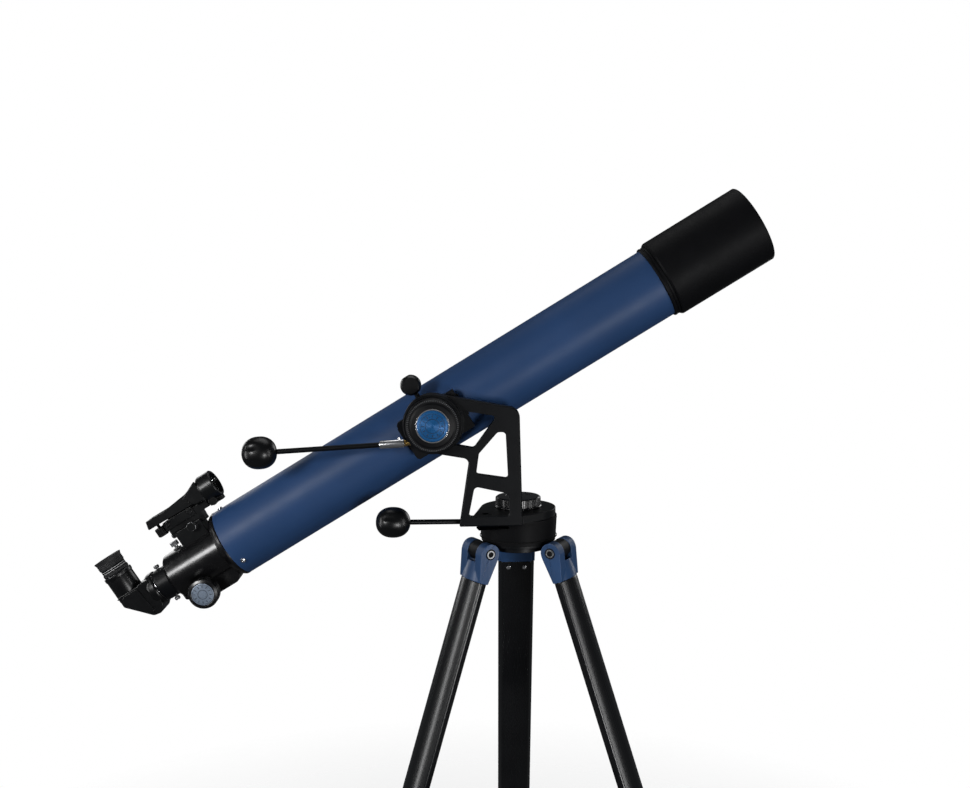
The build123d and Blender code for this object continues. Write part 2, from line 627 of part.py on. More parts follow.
def leg_fork():
    """Forked top of a leg, with a tongue inside the tube."""
    half = LEG_WIDTH / 2
    side = outline((FORK_R, 0, 0), (9.8, -FORK_LENGTH, 0), (-9.8, -FORK_LENGTH, 0), (-FORK_R, 0, 0))
    side += Circle(FORK_R)
    body = upright(side, -half, half)
    body &= leg_length(scale(leg_section(0), by=(1.45, 1, 1)), -20, FORK_LENGTH)
    body -= block((-20, 20), (-EAR_WIDTH / 2 - GAP, EAR_WIDTH / 2 + GAP), (-EAR_R - 1.4, 20))
    body += leg_length(leg_section(LEG_WALL + 0.3), FORK_LENGTH - 0.1, 70)
    body -= along_y(4 + RUNNING, -30, 30)
    body -= along_y(6.5 + RUNNING, half - 5 - GAP, 30)
    return body - along_y(6.5 + RUNNING, -30, GAP + 5 - half)


def upper_leg():
    """Upper tube with its brace bracket, fork screws and the clamp collar at its lower end."""
    tube = leg_length(leg_section(0) - leg_section(LEG_WALL), FORK_LENGTH + STEP, UPPER_LEG)
    collar = leg_length(leg_section(-3.2) - leg_section(-STEP), UPPER_LEG - 34, UPPER_LEG)
    lip = leg_length(leg_section(-3.2) - leg_section(LEG_WALL), UPPER_LEG + STEP, UPPER_LEG + 12)
    lug = block((10, 16), (-8, 8), (-UPPER_LEG + 6, -UPPER_LEG + 28))
    screw_hole = Pos(0, 0, -UPPER_LEG + 17) * along_x(4 + RUNNING, 5, 30)
    fork_screw = Pos(-LEG_DEPTH / 2, 0, -FORK_LENGTH - 9) * along_x(2.8, -1, -STEP)
    screws = [Pos(0, side, 0) * fork_screw for side in (-11, 11)]
    bracket = block((-BRACE_INSET - 4, -LEG_DEPTH / 2 - STEP), (-8, 8), (-BRACE_DOWN - 9, -BRACE_DOWN + 9))
    bracket -= block((-40, -LEG_DEPTH / 2 - 2.5), (-3, 3), (-BRACE_DOWN - 20, -BRACE_DOWN + 20))
    bracket -= Pos(-BRACE_INSET, 0, -BRACE_DOWN) * along_y(2.5 + STEP, -9, 9)
    pin = Pos(-BRACE_INSET, 0, -BRACE_DOWN) * along_y(2.5, -9, 9)
    clamp = (collar + lug + lip) - screw_hole
    return group(tube - screw_hole, clamp, bracket, pin, *screws)


def lower_leg():
    """Inner tube and the rubber foot, cut level where it meets the floor."""
    inset = LEG_WALL + 0.35
    tube = leg_length(leg_section(inset) - leg_section(inset + 1.5), 380, LEG_LENGTH - 14)
    foot = leg_length(leg_section(inset - 3.4), LEG_LENGTH - 40, LEG_LENGTH + 20)
    foot -= leg_length(leg_section(inset - STEP), LEG_LENGTH - 60, LEG_LENGTH - 14 + STEP)
    floor = Pos(0, 0, -LEG_LENGTH) * Rot(0, LEG_LEAN, 0) * block((-80, 80), (-80, 80), (-60, 0))
    return group(tube, foot - floor)


def leg_lock():
    """Clamp screw with a winged grip, facing outward on the collar."""
    grip = turned((0, 18), (6, 18), (13.4, 21), (14, 24), (13, 29), (9, 31), (0, 31.4))
    flutes = around(6, Pos(16.4, 0, 0) * along_z(4.6, 16, 40))
    stem = along_z(4, 10.4, 18.2)
    return Pos(0, 0, -UPPER_LEG + 17) * TO_X * (grip - flutes + stem)


def brace_reach():
    """Length of a brace, from its resting slope and the gap it spans."""
    lean = radians(LEG_LEAN)
    outer = HINGE_R + BRACE_DOWN * sin(lean) - BRACE_INSET * cos(lean)
    return (outer - TRAY_PIVOT_R) / cos(radians(BRACE_RISE))


def brace():
    """Flat strut from the leg's bracket to the tray hub; its inner eye hangs open in the hub."""
    reach = brace_reach()
    bar = block((-reach, 0), (-2.4, 2.4), (-5, 5)) + along_y(5, -2.4, 2.4)
    bar += Pos(-reach, 0, 0) * along_y(5, -2.4, 2.4)
    bar -= along_y(2.5 + RUNNING, -5, 5)
    in_leg = Pos(-BRACE_INSET, 0, -BRACE_DOWN)
    return in_leg * Rot(0, LEG_LEAN, 0) * Rot(0, BRACE_RISE, 0) * bar


def tray_height():
    """Height of the brace's inner pivot above the floor."""
    lean = radians(LEG_LEAN)
    outer = HINGE_HEIGHT - BRACE_DOWN * cos(lean) - BRACE_INSET * sin(lean)
    return outer + brace_reach() * sin(radians(BRACE_RISE))


def accessory_tray():
    """Three-lobed tray on the brace hub, with an eyepiece hole in each lobe."""
    lobe_azimuths = [azimuth + 180 for azimuth in LEG_AZIMUTHS.values()]
    plate = Circle(34)
    for azimuth in lobe_azimuths:
        plate += Rot(0, 0, azimuth) * Pos(47, 0) * Circle(25)
    solid = extrude(plate, amount=3)
    rim = extrude(plate - offset(plate, amount=-2), amount=8)
    tray = Pos(0, 0, 18) * (solid + rim)
    tray += along_z(28, -9, 18.5)
    for azimuth in LEG_AZIMUTHS.values():
        tray -= Rot(0, 0, azimuth) * block((2.6, 60), (-3, 3), (-30, 17.9))
    for azimuth in lobe_azimuths:
        tray -= Rot(0, 0, azimuth) * Pos(48, 0, 0) * along_z(16.2, 0, 40)
    return tray


def save(name, place, shape):
    export_step(place * shape, f"parts/{name}.step")


def save_mount():
    """Everything above the tripod's legs and beside the optical tube."""
    for piece in (tripod_head, azimuth_pillar, azimuth_worm_wheel, hinge_bolts, azimuth_drum, base_plate,
                  azimuth_tension_knob, arm):
        save(piece.__name__, DECK, piece())
    for piece in (altitude_axle, altitude_worm_wheel, altitude_tension_knob, altitude_knob_cap):
        save(piece.__name__, HUB, piece())
    for piece in (saddle, dovetail_bar, saddle_clamp_knob):
        save(piece.__name__, TILTED_HUB, piece())
    save("altitude_worm_shaft", DECK * altitude_worm_line(), altitude_worm_shaft())
    save("azimuth_worm_shaft", DECK * worm_line(), azimuth_worm_shaft())
    altitude_knob_place = DECK * altitude_worm_line() * Pos(ALT_KNOB_AT + STEP, 0, 0)
    save("altitude_control_knob", altitude_knob_place, control_knob(ALT_KNOB_R))
    azimuth_knob_place = DECK * worm_line() * Pos(AZ_KNOB_AT + STEP, 0, 0)
    save("azimuth_control_knob", azimuth_knob_place, control_knob(AZ_KNOB_R))


def save_tube():
    """The optical tube with its focuser, diagonal, eyepiece and finder."""
    for piece in (main_tube, tube_baffles, objective_cell, objective_lenses, lens_retainer, dew_shield,
                  flange_screws, focuser_housing, drawtube, eyepiece_holder, holder_thumbscrews,
                  focus_lock_screw, diagonal_body, diagonal_nose, diagonal_prism, eyepiece_barrel,
                  eyepiece_body, eyecup, finder_shoe, finder_base, finder_body, finder_lens, finder_switch):
        save(piece.__name__, TUBE, piece())
    for piece in (pinion_shaft, focus_knobs):
        save(piece.__name__, TUBE * Pos(PINION_S, 0, PINION_H), piece())


def save_tripod():
    for index, azimuth in LEG_AZIMUTHS.items():
        hinge = DECK * Rot(0, 0, azimuth) * Pos(HINGE_R, 0, -HINGE_DROP) * Rot(0, -LEG_LEAN, 0)
        for piece in (leg_fork, upper_leg, lower_leg, leg_lock, brace):
            save(f"{piece.__name__}_{index}", hinge, piece())
    save("accessory_tray", Pos(AXIS_X, AXIS_Y, tray_height()), accessory_tray())


os.makedirs("parts", exist_ok=True)
save_mount()
save_tube()
save_tripod()
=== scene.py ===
from math import cos, exp, pi, radians, sin, tan
import bmesh
import bpy
from mathutils import Matrix, Vector

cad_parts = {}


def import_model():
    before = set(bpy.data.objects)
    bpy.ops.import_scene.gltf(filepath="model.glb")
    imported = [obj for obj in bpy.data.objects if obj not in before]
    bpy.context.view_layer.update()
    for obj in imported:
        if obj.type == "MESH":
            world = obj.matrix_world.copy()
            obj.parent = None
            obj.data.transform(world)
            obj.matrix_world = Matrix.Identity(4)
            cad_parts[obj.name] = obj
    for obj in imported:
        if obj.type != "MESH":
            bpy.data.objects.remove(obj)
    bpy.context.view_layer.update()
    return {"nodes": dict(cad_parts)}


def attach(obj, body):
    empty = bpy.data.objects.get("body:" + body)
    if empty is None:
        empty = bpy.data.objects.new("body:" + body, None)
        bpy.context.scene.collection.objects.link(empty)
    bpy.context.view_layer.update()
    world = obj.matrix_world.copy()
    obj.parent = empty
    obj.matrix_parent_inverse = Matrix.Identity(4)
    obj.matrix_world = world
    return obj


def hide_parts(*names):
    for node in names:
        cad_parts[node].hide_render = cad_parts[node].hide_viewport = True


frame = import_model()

# Looks for the telescope: node materials for every CAD piece, and small detail pieces that ride on
# its bodies. Shapes are written in millimetres in the frames that the CAD model uses.

MM = 0.001
ALTITUDE = 30.8
HUB_S = -111.7                # altitude axis along the tube
HUB_H = 2.6                   # and above the tube's own axis
MIRROR_S = -571.4             # eyepiece axis along the tube
LEG_LEAN = 19.0
HINGE_R = 57.3
LEG_AZIMUTHS = {1: 90.0, 2: 210.0, 3: 330.0}


def shift(x, y, z):
    return Matrix.Translation((x * MM, y * MM, z * MM))


def turn(axis, degrees):
    return Matrix.Rotation(radians(degrees), 4, axis)


DECK = shift(114.9, -79.1, 832.1)
TUBE = DECK @ shift(-8.65, 0, 213.3) @ turn("Y", -ALTITUDE)
TILTED_HUB = TUBE @ shift(HUB_S, 0, HUB_H)
HUB = TILTED_HUB @ turn("Y", ALTITUDE)
ALONG = TUBE @ turn("Y", 90)                      # local Z runs forward along the tube
FACING = HUB @ turn("X", 90)                      # local Z points out of the altitude hub
ALTITUDE_WORM = HUB @ shift(0, -68, 0) @ turn("Y", -3) @ shift(0, 0, -22.2) @ turn("Z", 180)
AZIMUTH_WORM = DECK @ turn("Z", 12) @ shift(0, -36, 27.5) @ turn("Z", 180) @ turn("Y", -3)
LEGS = {index: DECK @ turn("Z", azimuth) @ shift(HINGE_R, 0, -12.1) @ turn("Y", -LEG_LEAN)
        for index, azimuth in LEG_AZIMUTHS.items()}


# ---- materials ----
class Paint:
    """A node material under construction."""

    def __init__(self, name):
        self.material = bpy.data.materials.new(name)
        self.material.use_nodes = True
        self.nodes = self.material.node_tree.nodes
        self.nodes.clear()
        output = self.add("ShaderNodeOutputMaterial")
        self.shader = self.add("ShaderNodeBsdfPrincipled")
        self.link(self.shader.outputs[0], output.inputs[0])
        self.place = self.add("ShaderNodeTexCoord").outputs["Object"]

    def add(self, kind, **settings):
        node = self.nodes.new(kind)
        for key, value in settings.items():
            setattr(node, key, value)
        return node

    def link(self, source, target):
        self.material.node_tree.links.new(source, target)

    def aligned(self, frame_matrix, stretch=(1, 1, 1)):
        """Object coordinates in another frame, stretched along its axes."""
        inverse = frame_matrix.inverted()
        turned = self.add("ShaderNodeMapping")
        turned.inputs["Location"].default_value = inverse.to_translation()
        turned.inputs["Rotation"].default_value = inverse.to_euler()
        self.link(self.place, turned.inputs["Vector"])
        scaled = self.add("ShaderNodeMapping")
        scaled.inputs["Scale"].default_value = stretch
        self.link(turned.outputs[0], scaled.inputs["Vector"])
        return scaled.outputs[0]

    def noise(self, scale, detail=4.0, place=None):
        texture = self.add("ShaderNodeTexNoise")
        texture.inputs["Scale"].default_value = scale
        texture.inputs["Detail"].default_value = detail
        self.link(place or self.place, texture.inputs["Vector"])
        return texture.outputs["Fac"]

    def scaled(self, value, low, high, start=0.0, end=1.0):
        """Value mapped from the range start..end to low..high, clamped."""
        node = self.add("ShaderNodeMapRange")
        node.inputs["From Min"].default_value = start
        node.inputs["From Max"].default_value = end
        node.inputs["To Min"].default_value = low
        node.inputs["To Max"].default_value = high
        self.link(value, node.inputs["Value"])
        return node.outputs["Result"]

    def math(self, operation, a, b):
        node = self.add("ShaderNodeMath", operation=operation)
        for socket, value in zip(node.inputs, (a, b)):
            if isinstance(value, (int, float)):
                socket.default_value = value
            else:
                self.link(value, socket)
        return node.outputs[0]

    def mixed(self, factor, a, b):
        """Colour a turning to colour b by the factor."""
        node = self.add("ShaderNodeMix", data_type="RGBA")
        self.link(factor, node.inputs["Factor"])
        for socket, value in ((node.inputs["A"], a), (node.inputs["B"], b)):
            if isinstance(value, tuple):
                socket.default_value = (*value, 1)
            else:
                self.link(value, socket)
        return node.outputs["Result"]

    def edges(self, radius):
        """Rounded normal, and a mask that is 1 along edges."""
        bevel = self.add("ShaderNodeBevel", samples=8)
        bevel.inputs["Radius"].default_value = radius * MM
        flat = self.add("ShaderNodeNewGeometry").outputs["Normal"]
        dot = self.add("ShaderNodeVectorMath", operation="DOT_PRODUCT")
        self.link(bevel.outputs[0], dot.inputs[0])
        self.link(flat, dot.inputs[1])
        return bevel.outputs[0], self.scaled(dot.outputs["Value"], 1.0, 0.0, 0.85, 0.995)

    def bump(self, height, distance, normal=None):
        node = self.add("ShaderNodeBump")
        node.inputs["Distance"].default_value = distance * MM
        self.link(height, node.inputs["Height"])
        if normal is not None:
            self.link(normal, node.inputs["Normal"])
        return node.outputs[0]

    def set(self, **values):
        names = {"colour": "Base Color", "rough": "Roughness", "metal": "Metallic", "normal": "Normal",
                 "coat": "Coat Weight", "coat_rough": "Coat Roughness", "specular": "Specular IOR Level",
                 "transmission": "Transmission Weight", "ior": "IOR", "sheen": "Sheen Weight",
                 "film": "Thin Film Thickness", "film_ior": "Thin Film IOR",
                 "glow": "Emission Color", "glow_strength": "Emission Strength"}
        for key, value in values.items():
            socket = self.shader.inputs[names[key]]
            if isinstance(value, (int, float)):
                socket.default_value = value
            elif isinstance(value, tuple):
                socket.default_value = (*value, 1)
            else:
                self.link(value, socket)


def moulded(name, colour, rough=0.42, grain=1.0, edge=0.35, coat=0.0, specular=0.5, painted_shade_below=None):
    """Painted or moulded surface: faint mottling, fine grain, and softly rounded edges that are lighter in colour,
    partly as wear and partly as a painted highlight.

    Below the given height the surface is made near-black and dull: painted shade under the arm's foot.
    """
    paint = Paint(name)
    cloud = paint.noise(38, 5)
    fine = paint.noise(2600, 2)
    rounded, rim = paint.edges(edge)
    darker = tuple(c * 0.8 for c in colour)
    lighter = tuple(min(c * 1.7 + 0.0025, 1) for c in colour)
    body = paint.mixed(paint.scaled(cloud, 0, 1, 0.35, 0.65), darker, colour)
    # Lighter colour along the edges: part wear, part painted highlight on the rims.
    wear_and_edge_highlight = paint.math("MULTIPLY", rim, paint.scaled(paint.noise(160, 6), 0.15, 0.8, 0.35, 0.65))
    normal = paint.bump(fine, 0.03 * grain, rounded)
    smudge = paint.scaled(paint.noise(75, 4), rough - 0.03, rough + 0.04, 0.3, 0.7)
    paint.set(colour=paint.mixed(wear_and_edge_highlight, body, lighter), rough=smudge, normal=normal, coat=coat, coat_rough=0.12,
              specular=specular)
    # Painted shade: below the given height the colour turns near-black and the specular drops to zero; painted is 1
    # above that height, where the surface keeps its own colour.
    if painted_shade_below is not None:
        height = paint.add("ShaderNodeSeparateXYZ")
        paint.link(paint.place, height.inputs[0])
        painted = paint.scaled(height.outputs["Z"], 0, 1, painted_shade_below, painted_shade_below + 0.0004)
        paint.set(specular=paint.math("MULTIPLY", painted, specular),
                  colour=paint.mixed(painted, (0.0008, 0.0008, 0.001), body))
    return paint.material


def tube_paint():
    """Satin navy powder coat on the tube, with a fine orange-peel texture."""
    paint = Paint("tube_navy")
    cloud = paint.noise(14, 5)
    peel = paint.noise(1500, 3)
    dust = paint.scaled(paint.noise(620, 8), 0.0, 0.1, 0.62, 0.75)
    body = paint.mixed(paint.scaled(cloud, 0, 1, 0.3, 0.7), (0.0125, 0.036, 0.098), (0.0145, 0.041, 0.112))
    rough = paint.scaled(paint.noise(46, 6), 0.44, 0.50, 0.3, 0.7)
    paint.set(colour=paint.mixed(dust, body, (0.08, 0.12, 0.2)), rough=rough, normal=paint.bump(peel, 0.03),
              specular=0.19)
    return paint.material


def metal(name, colour, rough=0.25, stretch=None, frame_matrix=None, streak=0.08, edge=0.15):
    """Plated or turned metal; a stretch gives brushed or lathe lines."""
    paint = Paint(name)
    place = paint.place if stretch is None else paint.aligned(frame_matrix, stretch)
    lines = paint.noise(900, 4, place)
    rounded, rim = paint.edges(edge)
    tint = tuple(c * 0.82 for c in colour)
    body = paint.mixed(paint.scaled(paint.noise(70, 6), 0, 1, 0.3, 0.7), tint, colour)
    rough_map = paint.scaled(lines, rough - streak / 2, rough + streak, 0.3, 0.7)
    paint.set(colour=body, metal=1.0, rough=rough_map, normal=paint.bump(lines, 0.006, rounded))
    return paint.material


def rubber(name, colour=(0.012, 0.012, 0.013)):
    paint = Paint(name)
    fine = paint.noise(1900, 6)
    chalk = paint.scaled(paint.noise(120, 5), 0.0, 0.12, 0.5, 0.8)
    rounded, rim = paint.edges(0.4)
    body = paint.mixed(chalk, colour, (0.035, 0.035, 0.036))
    paint.set(colour=body, rough=paint.scaled(fine, 0.5, 0.62, 0.3, 0.7), normal=paint.bump(fine, 0.01, rounded),
              specular=0.25)
    return paint.material


def glass(name, tint=(0.93, 0.97, 0.95), film=0.0):
    """Optical glass with faint dust and an anti-reflection coat."""
    paint = Paint(name)
    dust = paint.scaled(paint.noise(700, 8), 0.0, 0.12, 0.55, 0.75)
    body = paint.mixed(paint.scaled(paint.noise(30, 3), 0, 1, 0.3, 0.7), tint, tuple(c * 0.97 for c in tint))
    paint.set(colour=body, rough=dust, transmission=1.0, ior=1.52)
    if film:
        paint.set(film=film, film_ior=1.38)
    return paint.material


def leg_paint(name, index):
    """Black anodised extrusion with die lines along the leg."""
    paint = Paint(name)
    place = paint.aligned(LEGS[index], (1, 1, 0.012))
    lines = paint.noise(420, 2, place)
    cloud = paint.scaled(paint.noise(24, 6), 0, 1, 0.3, 0.7)
    rounded, rim = paint.edges(2.5)
    body = paint.mixed(cloud, (0.0028, 0.003, 0.0036), (0.004, 0.0043, 0.005))
    rough = paint.scaled(lines, 0.25, 0.285, 0.3, 0.7)
    paint.set(colour=body, rough=rough, specular=0.4,
              normal=paint.bump(lines, 0.0015, rounded))
    return paint.material


def dial_paint(name, colour, shine):
    """Metallic disc turned with fine concentric rings."""
    paint = Paint(name)
    place = paint.aligned(FACING)
    flat = paint.add("ShaderNodeVectorMath", operation="MULTIPLY")
    flat.inputs[1].default_value = (1, 1, 0)
    paint.link(place, flat.inputs[0])
    radius = paint.add("ShaderNodeVectorMath", operation="LENGTH")
    paint.link(flat.outputs[0], radius.inputs[0])
    rings = paint.math("SINE", paint.math("MULTIPLY", radius.outputs["Value"], 2 * pi / (0.55 * MM)), 0)
    fine = paint.noise(900, 4)
    body = paint.mixed(paint.scaled(paint.noise(120, 5), 0, 1, 0.3, 0.7), tuple(c * 0.85 for c in colour), colour)
    paint.set(colour=body, metal=shine, rough=paint.scaled(fine, 0.24, 0.36, 0.3, 0.7),
              normal=paint.bump(rings, 0.02), coat=0.4, coat_rough=0.1)
    return paint.material


MATERIALS = {
    "tube": tube_paint(),
    "satin_black": moulded("satin_black", (0.0026, 0.003, 0.0038), 0.40, 0.4, 0.5, specular=0.12),
    # Painted shade below the plate's top, where the block under the arm's foot sits in shadow.
    "plate_black": moulded("plate_black", (0.003, 0.0034, 0.0042), 0.40, 0.4, 0.5, specular=0.14,
                           painted_shade_below=(832.1 + 28.7) * MM),
    "shield_black": moulded("shield_black", (0.0026, 0.0027, 0.0033), 0.52, 0.8, 0.4, specular=0.07),
    "flat_black": moulded("flat_black", (0.003, 0.003, 0.003), 0.85, 2.5, 0.2, specular=0.15),
    "plastic_black": moulded("plastic_black", (0.0026, 0.0026, 0.003), 0.25, 0.12, 0.45, specular=0.45),
    "gloss_black": moulded("gloss_black", (0.0024, 0.0026, 0.003), 0.3, 0.1, 0.4, specular=0.3),
    "finder_grey": moulded("finder_grey", (0.0030, 0.0034, 0.0038), 0.32, 0.1, 0.6, specular=0.25),
    "knob_face": moulded("knob_face", (0.0022, 0.0024, 0.003), 0.42, 0.3, 0.35, specular=0.15),
    "fork_blue": moulded("fork_blue", (0.017, 0.048, 0.122), 0.36, 0.1, 1.0, coat=0.08, specular=0.3),
    "steel": metal("steel", (0.45, 0.45, 0.46), 0.3),
    "gunmetal": metal("gunmetal", (0.3, 0.305, 0.31), 0.3),
    "chrome": metal("chrome", (0.74, 0.74, 0.76), 0.24, streak=0.03),
    "brass": metal("brass", (0.62, 0.4, 0.13), 0.24),
    "rubber": rubber("rubber"),
    # Painted highlight: light grey for the knurl ribs, standing in for the light they catch.
    "knurl_highlight_grey": moulded("knurl_highlight_grey", (0.045, 0.047, 0.05), 0.35, 0.5, 0.1),
    "print_white": moulded("print_white", (0.5, 0.5, 0.5), 0.5, 0.4, 0.1),
    "glass": glass("glass"),
    "coated_glass": glass("coated_glass", (0.9, 0.95, 0.97), 230.0),
    "blue_dial": dial_paint("blue_dial", (0.003, 0.075, 0.22), 0.35),
    "blue_mark": moulded("blue_mark", (0.001, 0.008, 0.026), 0.35, 0.3, 0.1),
    "grey_dial": dial_paint("grey_dial", (0.17, 0.21, 0.27), 0.3),
    "grey_mark": moulded("grey_mark", (0.012, 0.02, 0.035), 0.4, 0.3, 0.1),
}
for leg in LEG_AZIMUTHS:
    MATERIALS[f"leg_{leg}"] = leg_paint(f"leg_black_{leg}", leg)

NODE_MATERIALS = {
    "tube": ["main_tube"],
    "plate_black": ["base_plate"],
    "satin_black": ["tripod_head", "azimuth_worm_shaft", "arm", "saddle", "dovetail_bar",
                    "drawtube", "eyepiece_holder", "eyepiece_body"],
    "shield_black": ["dew_shield", "objective_cell", "azimuth_drum"],
    "flat_black": ["tube_baffles", "lens_retainer"],
    "knob_face": ["azimuth_tension_knob", "altitude_tension_knob"],
    "plastic_black": ["focuser_housing", "diagonal_body",
                      "focus_knobs", "accessory_tray", "finder_switch"],
    "gloss_black": ["azimuth_control_knob", "altitude_control_knob", "saddle_clamp_knob",
                    "leg_lock_1", "leg_lock_2", "leg_lock_3"],
    "finder_grey": ["finder_shoe", "finder_base", "finder_body"],
    "fork_blue": ["leg_fork_1", "leg_fork_2", "leg_fork_3"],
    "steel": ["azimuth_pillar", "altitude_axle", "pinion_shaft", "brace_1", "brace_2", "brace_3"],
    "chrome": ["hinge_bolts", "flange_screws", "holder_thumbscrews", "focus_lock_screw", "diagonal_nose",
               "eyepiece_barrel"],
    "brass": ["altitude_worm_shaft", "altitude_worm_wheel", "azimuth_worm_wheel"],
    "rubber": ["eyecup"],
    "glass": ["diagonal_prism", "finder_lens"],
    "coated_glass": ["objective_lenses"],
    "blue_dial": ["altitude_knob_cap"],
    "leg_1": ["upper_leg_1", "lower_leg_1"],
    "leg_2": ["upper_leg_2", "lower_leg_2"],
    "leg_3": ["upper_leg_3", "lower_leg_3"],
}
for material_name, node_names in NODE_MATERIALS.items():
    for node_name in node_names:
        mesh = frame["nodes"][node_name].data
        mesh.materials.clear()
        mesh.materials.append(MATERIALS[material_name])


# ---- shapes ----
def lathe(profile, count=96, loop=False):
    """Surface of revolution about local Z from (radius, height) points."""
    points, rings, faces = [], [], []
    for radius, height in profile:
        around = 1 if radius == 0 else count
        rings.append([len(points) + k for k in range(around)])
        points += [(radius * cos(2 * pi * k / count), radius * sin(2 * pi * k / count), height)
                   for k in range(around)]
    if loop:
        rings.append(rings[0])
    for low, high in zip(rings, rings[1:]):
        for k in range(count):
            after = (k + 1) % count
            corners = [low[k % len(low)], low[after % len(low)], high[after % len(high)], high[k % len(high)]]
            faces.append(tuple(dict.fromkeys(corners)))
    return points, faces


def knurl(count, radius, depth, low, high, inner, chamfer=0.3, taper=0.0):
    """Ring about local Z with straight ridges on its outside; the taper is its narrowing to the top."""
    levels = [(low, -chamfer), (low + chamfer, 0), (high - chamfer, -taper), (high, -chamfer - taper)]
    points = []
    for height, shrink in levels:
        for k in range(4 * count):
            reach = radius + shrink + (depth if k % 4 in (1, 2) else 0)
            points.append((reach * cos(pi * k / (2 * count)), reach * sin(pi * k / (2 * count)), height))
    for height in (high, low):
        points += [(inner * cos(pi * k / (2 * count)), inner * sin(pi * k / (2 * count)), height)
                   for k in range(4 * count)]
    rows = len(levels) + 2
    faces = []
    for row in range(rows):
        for k in range(4 * count):
            after = (k + 1) % (4 * count)
            here, above = row * 4 * count, (row + 1) % rows * 4 * count
            faces.append((here + k, here + after, above + after, above + k))
    return points, faces


def rounded(corners, steps=6):
    """Outline points from (x, y, rounding radius) corners."""
    points = []
    for index, (x, y, radius) in enumerate(corners):
        here = Vector((x, y))
        before = (Vector(corners[index - 1][:2]) - here).normalized()
        after = (Vector(corners[(index + 1) % len(corners)][:2]) - here).normalized()
        half_angle = before.angle(after) / 2
        if radius == 0:
            points.append((x, y))
            continue
        middle = here + (before + after).normalized() * radius / sin(half_angle)
        start = here + before * radius / tan(half_angle) - middle
        swing = start.angle_signed(here + after * radius / tan(half_angle) - middle)
        for step in range(steps + 1):
            spun = middle + Matrix.Rotation(-swing * step / steps, 2) @ start
            if not points or (spun - Vector(points[-1])).length > 0.05:
                points.append(tuple(spun))
    return points


def extruded(outline, low, high):
    """Flat outline made solid along local Z."""
    count = len(outline)
    points = [(x, y, height) for height in (low, high) for x, y in outline]
    sides = [(k, (k + 1) % count, count + (k + 1) % count, count + k) for k in range(count)]
    return points, sides + [tuple(range(count))[::-1], tuple(range(count, 2 * count))]


def upright(corners, front, back):
    """Rounded outline drawn as (x, z) made solid between two y limits."""
    return moved(extruded(rounded(corners), -back, -front), turn("X", 90))


def bars(count, inner, outer, width, low, high):
    """Separate radial bars about local Z."""
    points, faces = [], []
    for index in range(count):
        spin = Matrix.Rotation(2 * pi * index / count, 3, "Z")
        start = len(points)
        for height in (low, high):
            for x, y in ((inner, -width), (outer, -width), (outer, width), (inner, width)):
                points.append(tuple(spin @ Vector((x, y / 2, height))))
        box = ((0, 3, 2, 1), (4, 5, 6, 7), (0, 1, 5, 4), (1, 2, 6, 5), (2, 3, 7, 6), (3, 0, 4, 7))
        faces += [tuple(start + corner for corner in face) for face in box]
    return points, faces


def piece(name, shape, place, body, material, bevel=0.0):
    """Detail piece from (points, faces) in millimetres, riding on a CAD body."""
    mesh = bpy.data.meshes.new(name)
    points, faces = shape
    mesh.from_pydata([Vector(point) * MM for point in points], [], faces)
    mesh.transform(place)
    mesh.materials.append(MATERIALS[material])
    edit = bmesh.new()
    edit.from_mesh(mesh)
    bmesh.ops.recalc_face_normals(edit, faces=edit.faces)
    edit.to_mesh(mesh)
    edit.free()
    mesh.shade_smooth()
    mesh.set_sharp_from_angle(angle=radians(32))
    made = bpy.data.objects.new(name, mesh)
    bpy.context.collection.objects.link(made)
    if bevel:
        rounding = made.modifiers.new("rounding", "BEVEL")
        rounding.width = bevel * MM
        rounding.segments = 2
        rounding.limit_method = "ANGLE"
    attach(made, body)
    return made


def joined(*shapes):
    points, faces = [], []
    for more_points, more_faces in shapes:
        start = len(points)
        points += more_points
        faces += [tuple(start + corner for corner in face) for face in more_faces]
    return points, faces


def moved(shape, matrix):
    """Shape in millimetres moved by a matrix in metres."""
    points, faces = shape
    return [tuple((matrix @ (Vector(point) * MM)) / MM) for point in points], faces


def ring(inner, outer, low, high, lip=0.2):
    return lathe([(inner, low), (outer - lip, low), (outer, low + lip), (outer, high - lip), (outer - lip, high),
                  (inner, high)], loop=True)


# ---- altitude hub and controls ----
def altitude_knob_details():
    face = FACING @ shift(0, 0, 80.4)
    # The ribs are light grey as a painted highlight.
    piece("altitude_knob_knurl", bars(84, 29.2, 31.3, 0.9, 11.2, 11.9), face, "altitude_tension",
          "knurl_highlight_grey")
    piece("altitude_knob_trim", ring(19.25, 20.5, 13.0, 14.3), face, "altitude_tension", "chrome")
    marks = joined(bars(12, 10.4, 13.2, 0.9, 15.0, 15.32), ring(8.2, 8.8, 15.0, 15.32, 0.05),
                   ring(14.6, 15.2, 14.9, 15.26, 0.05))
    piece("altitude_cap_dial", marks, face, "altitude_tension", "blue_mark")


